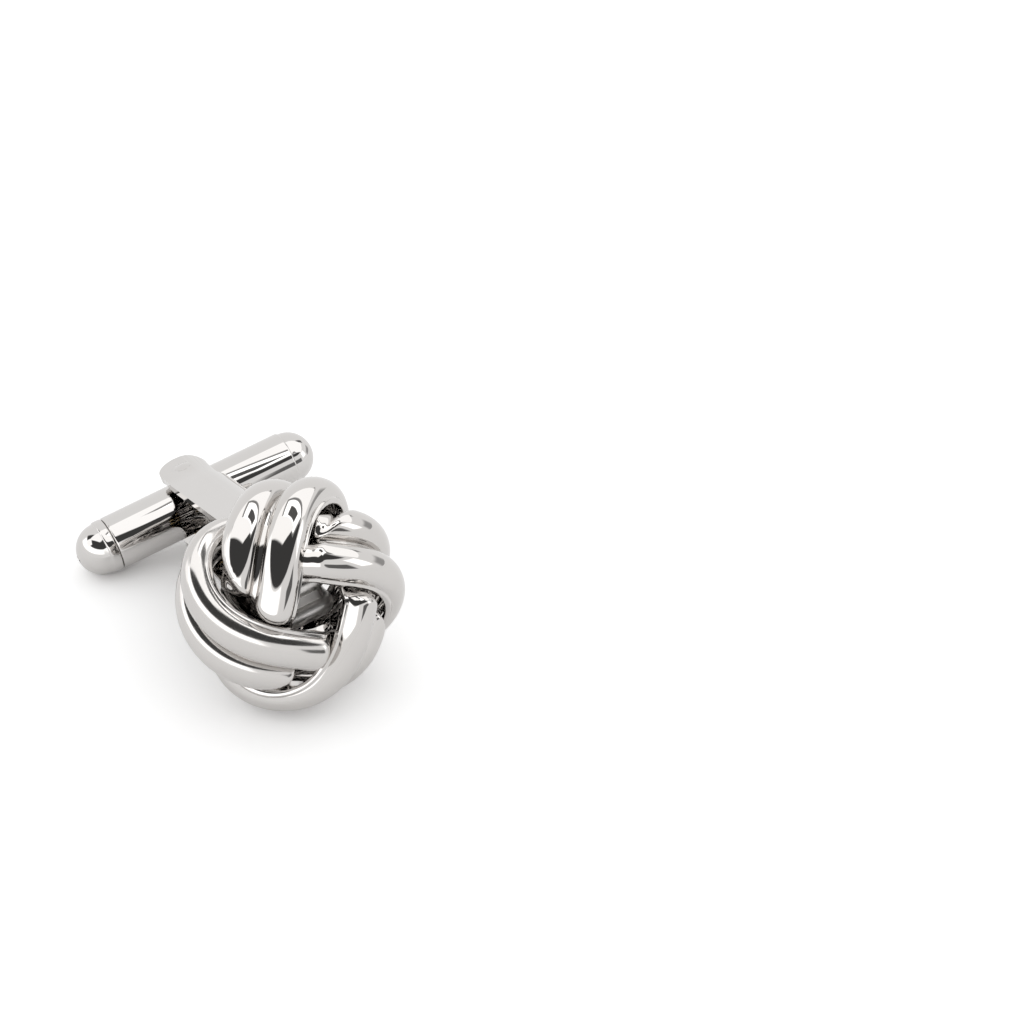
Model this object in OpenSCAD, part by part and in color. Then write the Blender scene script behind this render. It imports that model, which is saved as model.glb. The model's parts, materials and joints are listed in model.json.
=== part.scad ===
// Swivel-back knot cufflink, lying on a table as it comes to rest.
// The cufflink is drawn about its pivot: the bullet lies along X, the post runs to -Y
// and the pivot pin stands along Z. One placement then tilts and rolls it onto the table.

/* [Knot] */
// Radius of the ball at the tops of the ribs, measured square to the post
knot_r = 7.1; // [6:0.05:9]
// Half thickness of the ball at the tops of the ribs, measured along the post
knot_half_depth = 5.85; // [4.5:0.05:7.5]
// How much flatter the front of the ball is than the back, as a share
front_flat_share = 0.08; // [0:0.01:0.2]
// Turn of the whole weave about the post, in degrees
knot_turn = 13; // [0:1:89]
// How far the weave sits tipped on the post, front face up, in degrees
weave_tip = 7.5; // [0:0.5:12]
// How far it sits turned about the direction of the pin, in degrees
weave_yaw = 5; // [0:0.5:8]
// Overall width of one strip
strip_w = 5.6; // [4.6:0.05:6]
// Height of the two ribs pressed into a strip
rib_h = 1.1; // [0.6:0.05:1.3]
// Distance between the two ribs of a strip
rib_pitch = 2.75; // [2.2:0.05:2.9]
// Width of the flat land at each edge of a strip
strip_land = 0.18; // [0.1:0.01:0.4]
// Thickness of the strip metal
strip_t = 0.38; // [0.25:0.01:0.45]

/* [Core strip] */
// Width of the small ribbed strip seen through the middle of the knot
core_w = 3.4; // [2.6:0.1:3.8]
// Height of its ribs
core_rib_h = 0.55; // [0.3:0.05:0.8]
// Thickness of its metal
core_t = 0.35; // [0.2:0.01:0.5]
// Height of its rib tops in front of the middle of the knot
core_rise = 2.2; // [1.6:0.1:2.4]
// Outside span of the strip, where it turns back to run to the brace
core_span = 4.4; // [3.6:0.1:5]
// Outside radius of those two turns
core_bend_r = 1; // [0.6:0.05:1.4]

/* [Post frame] */
// Distance from the pivot to the centre of the knot
post_len = 17; // [16:0.1:20]
// How far inside the back of the ball the foot of the frame stands
foot_inset = 1.6; // [1.4:0.05:1.8]
// Thickness of the folded sheet
sheet_t = 0.5; // [0.4:0.01:0.6]
// Width of an arm, which is centred on the pivot
arm_w = 3.2; // [2.8:0.05:3.6]
// Radius of the round eye at the end of each arm
eye_r = 1.65; // [1.4:0.05:2]
// Angle by which each arm spreads away from the post axis
arm_spread = 7.5; // [5:0.5:8]
// Distance from the pivot to the bend where the arms start to spread
bend_at = 2; // [1.9:0.1:3]
// Outside radius of the rounded folds between the arms and the web
fold_r = 2; // [1.4:0.05:2.2]
// Distance from the pivot to the near edge of the web
web_start = 2.6; // [2.3:0.1:4]
// Length of the window cut in the web beside the foot
window_len = 2.6; // [1.5:0.1:4]
// Width of that window
window_w = 3.8; // [2:0.1:4.2]
// Radius of the inner corners of the window
window_r = 0.6; // [0.2:0.05:0.8]
// Thickness of metal left over each end of the pin
pin_cover = 0.2; // [0.15:0.01:0.25]
// Height of the small dimple over each end of the pin
dimple_h = 0.12; // [0.08:0.01:0.2]
// Radius of the dimple where it meets the eye
dimple_r = 0.55; // [0.4:0.05:0.7]

/* [Leaf spring] */
// Thickness of the leaf
leaf_t = 0.3; // [0.2:0.01:0.4]
// Width of the seam between the leaf and the rolled edge beside it
seam_w = 0.08; // [0.05:0.01:0.15]
// Width of the flat left between the seam and the fold
seam_land = 0.1; // [0.05:0.01:0.2]
// Length of the raised boss at the tip of the leaf
boss_len = 1.25; // [0.8:0.05:1.5]
// Width of that boss
boss_w = 1.2; // [0.8:0.05:1.5]
// Height of that boss above the leaf
boss_h = 0.22; // [0.1:0.01:0.3]

/* [Bullet] */
// Outside diameter of the bullet
bullet_d = 3.8; // [3.4:0.05:4]
// Overall length of the bullet
bullet_len = 18; // [16:0.1:20]
// Thickness of the bullet tube
tube_t = 0.35; // [0.25:0.01:0.45]
// Length of the pressed-in end cap, from its pole to its seam
cap_len = 2.5; // [2.2:0.05:3.5]
// Diameter of the small vent in the pole of the cap
vent_d = 0.5; // [0.3:0.05:0.7]
// Diameter of the pivot pin
pin_d = 1.1; // [0.9:0.05:1.2]
// Outside diameter of the bush pressed across the bullet, in which the pin turns
bush_d = 1.7; // [1.6:0.05:1.8]
// Length of the spigot by which the end cap sits in the tube
spigot_len = 1.2; // [0.8:0.1:2]

/* [Back brace] */
// Thickness of the two crossed bars behind the knot
brace_t = 0.4; // [0.3:0.05:0.6]
// Depth of the bars along the post
brace_depth = 1.2; // [0.8:0.1:1.4]
// How far the ends of the bars stay inside the ball under the ribs
brace_inset = 3.6; // [3.4:0.05:4]
// Gap between the foot of the frame and the bars, filled by the solder pad
pad_t = 0.3; // [0.2:0.05:0.5]
// Radius of the solder pad
pad_r = 1.5; // [1:0.1:1.9]

/* [Fits] */
// Gap between the side of the bullet and the inside of an arm, bridged by the bush
arm_gap = 0.55; // [0.4:0.01:0.65]
// Clearance between the bullet and the web when the bullet is in line with the post
web_gap = 0.1; // [0.08:0.01:0.2]
// Running clearance between the ends of the bush and the arms
side_gap = 0.06; // [0.04:0.01:0.1]
// Radial clearance of the turning bore on the pin
pin_gap = 0.03; // [0.02:0.01:0.06]
// Gap left between pieces that are soldered or laid together
seat_gap = 0.02; // [0.01:0.01:0.05]

/* [Hidden] */
cut_over = 1;
bullet_r = bullet_d / 2;
frame_len = post_len - knot_half_depth + foot_inset;
pin_r = pin_d / 2;

// Path of one strip. Progress is the angle turned round the post from the strip's buried front end;
// polar is the angle from the front pole at evenly spaced steps of progress.
path_first_angle = -45;
path_step_angle = 35;
polar_steps = [103, 68, 44, 40.5, 57, 101, 122.5, 127, 128, 130];
// Height of the strip's middle line above the ball at the same steps, as shares of the rib height
lift_shares = [-0.05, -0.05, -0.08, -0.18, 0.12, 0.44, 0.12, -2, -3.2, -4];
// Roll of the strip about its own path at the same steps, in degrees, front edge up
roll_steps = [4, 4, 4, 6, 1, 6, 0, -18, -20, -20];
path_start_angle = 6;
path_end_angle = 196;
path_count = 40;
// The buried front end dips under its neighbour along a curved line across the strip,
// and each of the two ribs ends roundly just before the neighbour's edge
dip_line_angles = [41, 27, 23];
dip_length_angle = 15;
rib_start_angles = [31, 44];
rib_end_angle = 9;
dip_depth_share = 1.45;
dip_depth = dip_depth_share * strip_t;
ball_r = knot_r - rib_h;
ball_depth = knot_half_depth - rib_h;
brace_len = 2 * (ball_r - brace_inset);
// Radius to which the strip is bowed across its width, as a share of the ball's
bow_share = 1.3;
bow_r = bow_share * ball_r;
// Angles round a half-round rib, and the height of the groove between the two
rib_angles = [22, 56, 90, 124, 158];
groove_share = 0.05;
// Share of the metal's thickness by which the inside of a rib is smaller
wall_share = 0.8;
rib_fade_angle = 9;
tail_narrow_angle = 125;
tail_front_share = 0.4;
tail_rear_share = 0.62;
boss_clip_share = 0.45;
leaf_tip = pin_r + sheet_t - leaf_t + seam_w;

function smooth_step(u) = let (c = max(0, min(1, u))) c * c * c * (10 - 15 * c + 6 * c * c);
function spline(v, u) =
    let (i = max(1, min(len(v) - 3, floor(u))), f = u - i)
    (pow(1 - f, 3) * v[i - 1] + (3 * pow(f, 3) - 6 * pow(f, 2) + 4) * v[i]
        + (-3 * pow(f, 3) + 3 * pow(f, 2) + 3 * f + 1) * v[i + 1] + pow(f, 3) * v[i + 2]) / 6;
function unit(v) = v / norm(v);
function step_at(s) = (s - path_first_angle) / path_step_angle;

// Point on the ball under the ribs, with the post along -Y, and the direction straight out of it
function front_share(p) = cos(p) > 0 ? front_flat_share : 0;
function ball_point(s, turn) =
    let (p = spline(polar_steps, step_at(s)), a = turn - s)
    [ball_r * sin(p) * cos(a),
        -ball_depth * cos(p) * (1 - front_share(p) * pow(cos(p), 2)),
        ball_r * sin(p) * sin(a)];
function ball_normal(q) = unit([q[0] / pow(ball_r, 2), q[1] / pow(ball_depth, 2), q[2] / pow(ball_r, 2)]);
function strip_spine(s, turn) =
    let (q = ball_point(s, turn))
    q + rib_h * spline(lift_shares, step_at(s)) * ball_normal(q);
function strip_frame(s, turn) =
    let (o = strip_spine(s, turn),
        t = unit(strip_spine(s + 1, turn) - strip_spine(s - 1, turn)),
        n0 = ball_normal(ball_point(s, turn)),
        n1 = unit(n0 - (n0 * t) * t),
        b1 = cross(n1, t),
        r = spline(roll_steps, step_at(s)))
    [o, cos(r) * b1 - sin(r) * n1, cos(r) * n1 + sin(r) * b1];
// Drop of the strip at progress s, at a distance x towards its rear edge
function dip(s, x) =
    dip_depth * (1 - smooth_step((s - dip_line(x)) / dip_length_angle + 0.5));
function dip_line(x) =
    let (u = 2 * x / strip_w)
    dip_line_angles[0] + dip_line_angles[1] * u + dip_line_angles[2] * u * u;
function placed_on(f, x, y) =
    let (a = x / bow_r * 180 / PI)
    f[0] + (bow_r + y) * sin(a) * f[1] + ((bow_r + y) * cos(a) - bow_r) * f[2];

// A ribbon of metal through a list of stations, each a closed ring of points
module ribbon(rings) {
    n = len(rings[0]);
    m = len(rings);
    points = [for (r = rings) for (p = r) p];
    sides = [for (i = [0:m - 2]) for (j = [0:n - 1])
        let (k = (j + 1) % n)
        each [[i * n + j, i * n + k, (i + 1) * n + j], [i * n + k, (i + 1) * n + k, (i + 1) * n + j]]];
    // A cap joins the top of the ring to its underside, pair by pair
    caps = [for (j = [0:n / 2 - 2])
        let (a = j, b = j + 1, c = n - 2 - j, d = n - 1 - j)
        each [[a, d, b], [b, d, c]]];
    last = (m - 1) * n;
    polyhedron(points, concat(sides, caps, [for (f = caps) [f[2] + last, f[1] + last, f[0] + last]]));
}

// Section of a strip with two half-round ribs, as [distance across, height]: the top first,
// then the underside the other way round
function ribs_line(w, pitch, land, h) =
    let (half = (w - pitch) / 2 - land,
        rise = [for (a = rib_angles) [-half * cos(a), sin(a)]])
    concat([for (i = [len(rise) - 1:-1:0]) [-pitch / 2 - rise[i][0], h[0] * rise[i][1]]],
        [[0, (h[0] + h[1]) / 2 * groove_share]], [for (p = rise) [pitch / 2 + p[0], h[1] * p[1]]]);
function reversed(list) = [for (i = [len(list) - 1:-1:0]) list[i]];
function strip_section(w, pitch, land, h, t) =
    let (top = ribs_line(w, pitch, land, h), under = ribs_line(w, pitch, land + t * wall_share, h))
    concat([[-w / 2, 0]], top, [[w / 2, 0]],
        [[w / 2, -t]], [for (p = reversed(under)) p - [0, t]], [[-w / 2, -t]]);

// A rib is full except near its two ends, where it closes like a dome; the tail narrows at both edges
function dome(u) = sqrt(max(0, 1 - pow(1 - max(0, min(1, u)), 2)));
function rib_height(s, start) =
    rib_h * dome((path_end_angle - s) / rib_fade_angle) * dome((s - start) / rib_end_angle);
function narrowed(s, x) =
    x * (1 - (x < 0 ? tail_front_share : tail_rear_share)
        * smooth_step((s - tail_narrow_angle) / (path_end_angle - tail_narrow_angle)));
// The weave as a whole sits a little askew on the post
function yawed(p) =
    [p[0] * cos(weave_yaw) - p[1] * sin(weave_yaw), p[0] * sin(weave_yaw) + p[1] * cos(weave_yaw), p[2]];
function tipped(p) =
    [p[0], p[1] * cos(weave_tip) + p[2] * sin(weave_tip), p[2] * cos(weave_tip) - p[1] * sin(weave_tip)];
function strip_ring(s, turn) =
    let (f = strip_frame(s, turn), h = [for (start = rib_start_angles) rib_height(s, start)])
    [for (p = strip_section(strip_w, rib_pitch, strip_land, h, strip_t))
        tipped(yawed(placed_on(f, narrowed(s, p[0]), p[1] - dip(s, p[0])))) - [0, post_len, 0]];
function strip_rings(turn) =
    [for (i = [0:path_count]) strip_ring(path_start_angle + (path_end_angle - path_start_angle) * i / path_count, turn)];

// The core strip is a staple: its crown shows through the middle of the knot, its legs run to the brace
brace_from = frame_len + pad_t;
core_drop = post_len + core_rise - core_rib_h - brace_from - brace_depth - seat_gap;
core_round = core_bend_r - core_rib_h;
core_line_half = core_span / 2 - core_rib_h;
core_angles = [0:15:90];
function core_station(x, depth, angle) = [[x, -post_len - core_rise + core_rib_h + depth, 0], angle];
core_path = concat(
    [core_station(core_line_half, core_drop, 0)],
    [for (a = core_angles) core_station(core_line_half - core_round * (1 - cos(a)), core_round * (1 - sin(a)), a)],
    [for (a = core_angles) core_station(-core_line_half + core_round * (1 - sin(a)), core_round * (1 - cos(a)), 90 + a)],
    [core_station(-core_line_half, core_drop, 180)]);
function core_ring(station) =
    let (out = [cos(station[1]), -sin(station[1]), 0])
    [for (p = strip_section(core_w, core_w / 2 + strip_land, strip_land, [core_rib_h, core_rib_h], core_t))
        station[0] + p[1] * out + [0, 0, -p[0]]];

// Frame sizes that follow from the bullet that swings between the arms
channel_half = bullet_r + arm_gap;
arm_out = channel_half + sheet_t;
arm_half = arm_w / 2;
web_out = bullet_r + web_gap + sheet_t;
fold_from = web_out - fold_r;
leaf_edge = fold_from - seam_land;
fold_angles = [0:9:90];
bush_r = bush_d / 2;
pin_half = arm_out - pin_cover - seat_gap;
slant_t = sheet_t / cos(arm_spread);
function arm_inside(y) = channel_half + max(0, y - bend_at) * tan(arm_spread);

// Rest on the table: the head, the lower eye and the capped end of the bullet all touch it
head_points = [for (k = [0:3]) for (r = strip_rings(knot_turn + 90 * k)) each r];
end_reach = bullet_len / 2 - bullet_r;
function height_of(p, tilt, roll) = (p[0] * sin(roll) + p[2] * cos(roll)) * cos(tilt) - p[1] * sin(tilt);
function head_low(tilt, roll) = min([for (p = head_points) height_of(p, tilt, roll)]);
function eye_low(tilt, roll) =
    -eye_r * norm([sin(roll) * cos(tilt), sin(tilt)]) - arm_out * cos(roll) * cos(tilt);
settle_rounds = 6;
function settled(tilt, roll, rounds) = rounds == 0 ? [tilt, roll] :
    let (eye = eye_low(tilt, roll), gap = head_low(tilt, roll) - eye)
    settled(tilt - asin(gap / post_len), asin((-eye - bullet_r) / (end_reach * cos(tilt))), rounds - 1);
rest = settled(asin((knot_r - arm_out) / post_len), asin((arm_out - bullet_r) / end_reach),
    settle_rounds);
lie_tilt = rest[0];
lie_roll = rest[1];
lie_height = -eye_low(lie_tilt, lie_roll);
function depth_of(p) = p[1] * cos(lie_tilt) + (p[0] * sin(lie_roll) + p[2] * cos(lie_roll)) * sin(lie_tilt);
lie_back = eye_r * norm([cos(lie_tilt), sin(lie_roll) * sin(lie_tilt)]) + arm_out * cos(lie_roll) * sin(lie_tilt);
lie_front = min([for (p = head_points) depth_of(p)]);
module lie_down() {
    translate([0, -(lie_back + lie_front) / 2, lie_height])
        rotate([-lie_tilt, 0, 0]) rotate([0, -lie_roll, 0]) children();
}

module knot_band(number) {
    color("silver") lie_down() ribbon(strip_rings(knot_turn + 90 * number));
}
module knot_band_a() { knot_band(0); }
module knot_band_b() { knot_band(1); }
module knot_band_c() { knot_band(2); }
module knot_band_d() { knot_band(3); }

module core_strip() {
    color("gainsboro") lie_down() ribbon([for (c = core_path) core_ring(c)]);
}

module back_brace() {
    color("lightgray") lie_down() translate([0, -brace_from - brace_depth / 2, 0]) {
        cube([brace_len, brace_depth, brace_t], center = true);
        cube([brace_t, brace_depth, brace_len], center = true);
    }
}

module solder_pad() {
    color("whitesmoke") lie_down() translate([0, -frame_len - seat_gap, 0]) rotate([90, 0, 0])
        cylinder(h = pad_t - 2 * seat_gap, r = pad_r, $fn = 48);
}

// The frame seen along the pin: a round eye, a straight shank and, further on, the web's side
module arm_outline() {
    circle(eye_r, $fn = 96);
    translate([-arm_half, -frame_len]) square([arm_w, frame_len]);
    translate([0, -frame_len]) square([web_out, frame_len - web_start]);
}

// The folded sheet in section, at a distance y from the pivot: arm, fold, web, fold, arm.
// The line lies t outside the inner face
function fold_line(y, t) =
    let (half = arm_inside(y) + t, r = fold_r - sheet_t + t)
    concat([[-arm_half - cut_over, -half]],
        [for (a = fold_angles) [fold_from + r * sin(a), r * (1 - cos(a)) - half]],
        reversed([for (a = fold_angles) [fold_from + r * sin(a), half - r * (1 - cos(a))]]),
        [[-arm_half - cut_over, half]]);
function fold_ring(y) =
    [for (p = concat(fold_line(y, sheet_t), reversed(fold_line(y, 0)))) [p[0], -y, p[1]]];
module folded_sheet() {
    intersection() {
        ribbon([for (y = [frame_len, bend_at, -eye_r]) fold_ring(y)]);
        linear_extrude(2 * frame_len, center = true) arm_outline();
    }
}
module foot_plate() {
    intersection() {
        translate([0, sheet_t - frame_len, 0]) rotate([90, 0, 0]) linear_extrude(sheet_t)
            polygon(fold_line(frame_len, 0));
        linear_extrude(2 * frame_len, center = true) arm_outline();
    }
}

// The same arm seen along the bullet: straight past the pivot, then spread to the foot
module arm_side(inner, outer) {
    polygon([[eye_r, channel_half + inner], [-bend_at, channel_half + inner],
        [-frame_len, arm_inside(frame_len) + inner * slant_t / sheet_t],
        [-frame_len, arm_inside(frame_len) + outer * slant_t / sheet_t],
        [-bend_at, channel_half + outer], [eye_r, channel_half + outer]]);
}
module bent_sheet(inner, outer) {
    intersection() {
        linear_extrude(frame_len) children();
        rotate([90, 0, 90]) translate([0, 0, -arm_w]) linear_extrude(2 * arm_w) arm_side(inner, outer);
    }
}

// Domed cover over one end of the pin
module dimple() {
    dome_r = (pow(dimple_r, 2) + pow(dimple_h, 2)) / (2 * dimple_h);
    intersection() {
        translate([0, 0, arm_out + dimple_h - dome_r]) sphere(dome_r, $fn = 96);
        translate([0, 0, arm_out - sheet_t / 2]) cylinder(h = sheet_t, r = dimple_r, $fn = 48);
    }
}
module pin_pocket() {
    cylinder(h = arm_out - pin_cover, r = pin_r + seat_gap, $fn = 48);
}

module leaf_slot(gap) {
    translate([-arm_w, -frame_len - cut_over])
        square([arm_w + leaf_edge - gap, frame_len + cut_over - leaf_tip + seam_w - gap]);
}

module window_outline() {
    far = frame_len - sheet_t - window_len;
    translate([-frame_len + sheet_t, -window_w / 2]) square([window_len - window_r, window_w]);
    translate([-far - 2 * window_r, -window_w / 2 + window_r]) square([2 * window_r, window_w - 2 * window_r]);
    for (side = [-1, 1])
        translate([-far - window_r, side * (window_w / 2 - window_r)]) circle(window_r, $fn = 48);
}

module post_frame() {
    color("silver") lie_down() difference() {
        union() {
            difference() {
                folded_sheet();
                mirror([0, 0, 1]) bent_sheet(0, sheet_t + cut_over) leaf_slot(0);
                translate([web_out - sheet_t - cut_over, 0, 0]) rotate([90, 0, 90])
                    linear_extrude(sheet_t + 2 * cut_over) window_outline();
            }
            foot_plate();
            for (side = [0, 1])
                mirror([0, 0, side]) dimple();
        }
        for (side = [0, 1])
            mirror([0, 0, side]) pin_pocket();
    }
}

module leaf_spring() {
    boss_left = leaf_edge - 2 * seam_w - boss_w;
    color("gainsboro") lie_down() mirror([0, 0, 1]) {
        bent_sheet(sheet_t - leaf_t, sheet_t) intersection() {
            arm_outline();
            leaf_slot(seam_w);
        }
        translate([boss_left, -leaf_tip - seam_w - boss_len, arm_out - leaf_t / 2])
            linear_extrude(leaf_t / 2 + boss_h)
                polygon([[0, 0], [boss_w * boss_clip_share, 0], [boss_w, boss_len * (1 - boss_clip_share)],
                    [boss_w, boss_len], [0, boss_len]]);
    }
}

module pivot_pin() {
    color("gray") lie_down() cylinder(h = 2 * pin_half, r = pin_r, center = true, $fn = 48);
}

// Turned about the bullet's own axis, which runs along X
module along_bullet() { rotate([0, 90, 0]) children(); }
module cross_bore(radius) {
    cylinder(h = 2 * arm_out, r = radius, center = true, $fn = 64);
}

module bullet_tube() {
    tube_in = bullet_r - tube_t;
    open_end = -bullet_len / 2 + cap_len + seat_gap;
    color("silver") lie_down() difference() {
        along_bullet() union() {
            translate([0, 0, open_end]) cylinder(h = end_reach - open_end, r = bullet_r, $fn = 96);
            translate([0, 0, end_reach]) sphere(bullet_r, $fn = 96);
        }
        along_bullet() union() {
            translate([0, 0, open_end - cut_over])
                cylinder(h = end_reach - open_end + cut_over, r = tube_in, $fn = 96);
            translate([0, 0, end_reach]) sphere(tube_in, $fn = 96);
        }
        cross_bore(bush_r + seat_gap);
    }
}

module bullet_end_cap() {
    spigot_r = bullet_r - tube_t - seat_gap;
    seam_at = -bullet_len / 2 + cap_len;
    color("silver") lie_down() along_bullet() difference() {
        union() {
            intersection() {
                translate([0, 0, -end_reach]) sphere(bullet_r, $fn = 96);
                translate([0, 0, -bullet_len / 2]) cylinder(h = bullet_r, r = bullet_r, $fn = 96);
            }
            translate([0, 0, -end_reach]) cylinder(h = end_reach + seam_at, r = bullet_r, $fn = 96);
            translate([0, 0, seam_at - cap_len / 2]) cylinder(h = cap_len / 2 + spigot_len, r = spigot_r, $fn = 96);
        }
        translate([0, 0, -bullet_len / 2 - cut_over])
            cylinder(h = cut_over + vent_d * 2, r = vent_d / 2, $fn = 32);
    }
}

module pivot_bush() {
    color("darkgray") lie_down() difference() {
        cylinder(h = 2 * (channel_half - side_gap), r = bush_r, center = true, $fn = 64);
        cross_bore(pin_r + pin_gap);
    }
}

knot_band_a();
knot_band_b();
knot_band_c();
knot_band_d();
core_strip();
back_brace();
solder_pad();
post_frame();
leaf_spring();
pivot_pin();
bullet_tube();
bullet_end_cap();
pivot_bush();
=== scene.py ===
import json
import math
import bpy
from mathutils import Matrix, Vector


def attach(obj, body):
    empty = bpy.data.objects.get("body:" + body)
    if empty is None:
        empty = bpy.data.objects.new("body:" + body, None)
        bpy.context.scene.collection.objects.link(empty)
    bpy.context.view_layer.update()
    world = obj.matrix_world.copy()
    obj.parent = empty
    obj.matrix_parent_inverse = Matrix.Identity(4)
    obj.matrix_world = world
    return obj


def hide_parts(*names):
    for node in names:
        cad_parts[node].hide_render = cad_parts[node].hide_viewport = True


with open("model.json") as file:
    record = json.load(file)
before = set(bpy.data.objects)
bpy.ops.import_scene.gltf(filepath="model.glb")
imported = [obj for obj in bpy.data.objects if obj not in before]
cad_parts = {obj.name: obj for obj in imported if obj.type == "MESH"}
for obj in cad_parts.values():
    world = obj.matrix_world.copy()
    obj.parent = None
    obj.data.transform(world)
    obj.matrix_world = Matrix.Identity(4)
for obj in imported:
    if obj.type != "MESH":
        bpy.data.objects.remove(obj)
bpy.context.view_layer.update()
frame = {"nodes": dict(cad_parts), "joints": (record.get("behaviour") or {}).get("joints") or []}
mm = 0.001
weldGap = 0.0005 * mm

# The link's own axes: the pivot at the origin, the bullet along X, the knot towards -Y, the pin along Z
swivel = frame["joints"][0]
hinge = Vector(swivel["axis"])
linkRoll = math.asin(-hinge.x)
linkTilt = math.atan2(hinge.y, hinge.z)
linkPlace = (Matrix.Translation(Vector(swivel["pos_m"])) @ Matrix.Rotation(-linkTilt, 4, "X")
             @ Matrix.Rotation(-linkRoll, 4, "Y"))
print("frame loaded, tilt and roll in degrees:", *(round(math.degrees(a), 3) for a in (linkTilt, linkRoll)))


# Camera

cameraView = {
    "place": (-49.74, -128.04, 111.31),   # mm
    "lookAt": (21.35, 3.73, 0.0),         # mm
    "turn": 1.84,                         # degrees about the line of sight
    "lens": 92.19,
    "sensor": 36.0,
    "nearest": 1.0,                       # mm
}


def makeCamera(spec):
    cameraData = bpy.data.cameras.new("camera")
    camera = bpy.data.objects.new("camera", cameraData)
    bpy.context.scene.collection.objects.link(camera)
    camera.location = Vector(spec["place"]) * mm
    sight = Vector(spec["lookAt"]) * mm - camera.location
    facing = sight.to_track_quat("-Z", "Y").to_matrix() @ Matrix.Rotation(math.radians(spec["turn"]), 3, "Z")
    camera.rotation_euler = facing.to_euler()
    cameraData.lens = spec["lens"]
    cameraData.sensor_width = spec["sensor"]
    cameraData.clip_start = spec["nearest"] * mm
    bpy.context.scene.camera = camera


makeCamera(cameraView)
bpy.context.scene.view_settings.view_transform = "Standard"
print("camera made")


# Materials: bright plating, each piece with its own polish. The colour drifts towards thin, where the
# plating is thinner; sizes are in mm

finish = {
    "cloudSize": 3.1, "cloudDetail": 3,
    "markDetail": 4, "markBend": 0.6, "markDepth": 0.01,
    "shineShares": (0.6, 1.5),   # of a metal's roughness, from its best polish to its worst
}
platings = {
    "knotPlating": {"colour": (0.66, 0.64, 0.625), "thin": (0.62, 0.60, 0.58), "roughness": 0.035,
                    "markSize": 0.9, "markStrength": 0.1},
    # The core's plating is drawn lighter than the knot's: painted light that stands in for the light the core
    # lacks in the shade of the hole. The brace shares this plating.
    "coreLightenedPlating": {"colour": (0.84, 0.82, 0.80), "thin": (0.74, 0.72, 0.70), "roughness": 0.38,
                    "markSize": 0.5, "markStrength": 0.2},
    "solderFillet": {"colour": (0.62, 0.605, 0.59), "thin": (0.54, 0.525, 0.51), "roughness": 0.16,
                     "markSize": 0.3, "markStrength": 0.3},
    "framePlating": {"colour": (0.66, 0.645, 0.63), "thin": (0.63, 0.61, 0.595), "roughness": 0.05,
                     "markSize": 1.2, "markStrength": 0.08},
    "leafPlating": {"colour": (0.66, 0.645, 0.63), "thin": (0.62, 0.60, 0.585), "roughness": 0.06,
                    "markSize": 1.0, "markStrength": 0.1},
    "pinWire": {"colour": (0.56, 0.56, 0.56), "thin": (0.50, 0.50, 0.50), "roughness": 0.22,
                "markSize": 0.2, "markStrength": 0.3},
    "bulletPlating": {"colour": (0.67, 0.655, 0.64), "thin": (0.64, 0.62, 0.605), "roughness": 0.035,
                      "markSize": 1.5, "markStrength": 0.08},
    "bushBrass": {"colour": (0.62, 0.49, 0.26), "thin": (0.56, 0.43, 0.22), "roughness": 0.2,
                  "markSize": 0.25, "markStrength": 0.25},
}
# one strip of the knot is less well polished than the others
platings["softKnotPlating"] = {**platings["knotPlating"], "roughness": 0.13}


def polishedMetal(name, colour, thin, roughness, markSize, markStrength):
    material = bpy.data.materials.new(name)
    material.use_nodes = True
    nodes, links = material.node_tree.nodes, material.node_tree.links
    shader = nodes["Principled BSDF"]
    shader.inputs["Metallic"].default_value = 1.0
    place = nodes.new("ShaderNodeTexCoord")
    # faint uneven thickness of the plating
    cloud = nodes.new("ShaderNodeTexNoise")
    cloud.inputs["Scale"].default_value = 1 / (finish["cloudSize"] * mm)
    cloud.inputs["Detail"].default_value = finish["cloudDetail"]
    tint = nodes.new("ShaderNodeMix")
    tint.data_type = "RGBA"
    tint.inputs["A"].default_value = (*colour, 1)
    tint.inputs["B"].default_value = (*thin, 1)
    links.new(place.outputs["Object"], cloud.inputs["Vector"])
    links.new(cloud.outputs["Fac"], tint.inputs["Factor"])
    links.new(tint.outputs["Result"], shader.inputs["Base Color"])
    # polishing marks: the shine varies a little, and the surface is not perfectly flat
    marks = nodes.new("ShaderNodeTexNoise")
    marks.inputs["Scale"].default_value = 1 / (markSize * mm)
    marks.inputs["Detail"].default_value = finish["markDetail"]
    marks.inputs["Distortion"].default_value = finish["markBend"]
    shine = nodes.new("ShaderNodeMapRange")
    shine.inputs["To Min"].default_value = roughness * finish["shineShares"][0]
    shine.inputs["To Max"].default_value = roughness * finish["shineShares"][1]
    bump = nodes.new("ShaderNodeBump")
    bump.inputs["Strength"].default_value = markStrength
    bump.inputs["Distance"].default_value = finish["markDepth"] * mm
    links.new(place.outputs["Object"], marks.inputs["Vector"])
    links.new(marks.outputs["Fac"], shine.inputs["Value"])
    links.new(shine.outputs["Result"], shader.inputs["Roughness"])
    links.new(marks.outputs["Fac"], bump.inputs["Height"])
    links.new(bump.outputs["Normal"], shader.inputs["Normal"])
    return material


metals = {name: polishedMetal(name, **look) for name, look in platings.items()}
print("materials made")


# Shared ways of modelling

def deselectAll():
    bpy.ops.object.select_all(action="DESELECT")


def activate(piece):
    deselectAll()
    bpy.context.view_layer.objects.active = piece
    piece.select_set(True)


def smoothed(piece, degrees):
    activate(piece)
    bpy.ops.object.shade_smooth_by_angle(angle=math.radians(degrees))


def inEditMode(piece, *steps):
    activate(piece)
    bpy.ops.object.mode_set(mode="EDIT")
    bpy.ops.mesh.select_all(action="SELECT")
    for step in steps:
        step()
    bpy.ops.object.mode_set(mode="OBJECT")


def weld():
    bpy.ops.mesh.remove_doubles(threshold=weldGap)


def faceOutward():
    bpy.ops.mesh.normals_make_consistent(inside=False)


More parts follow.
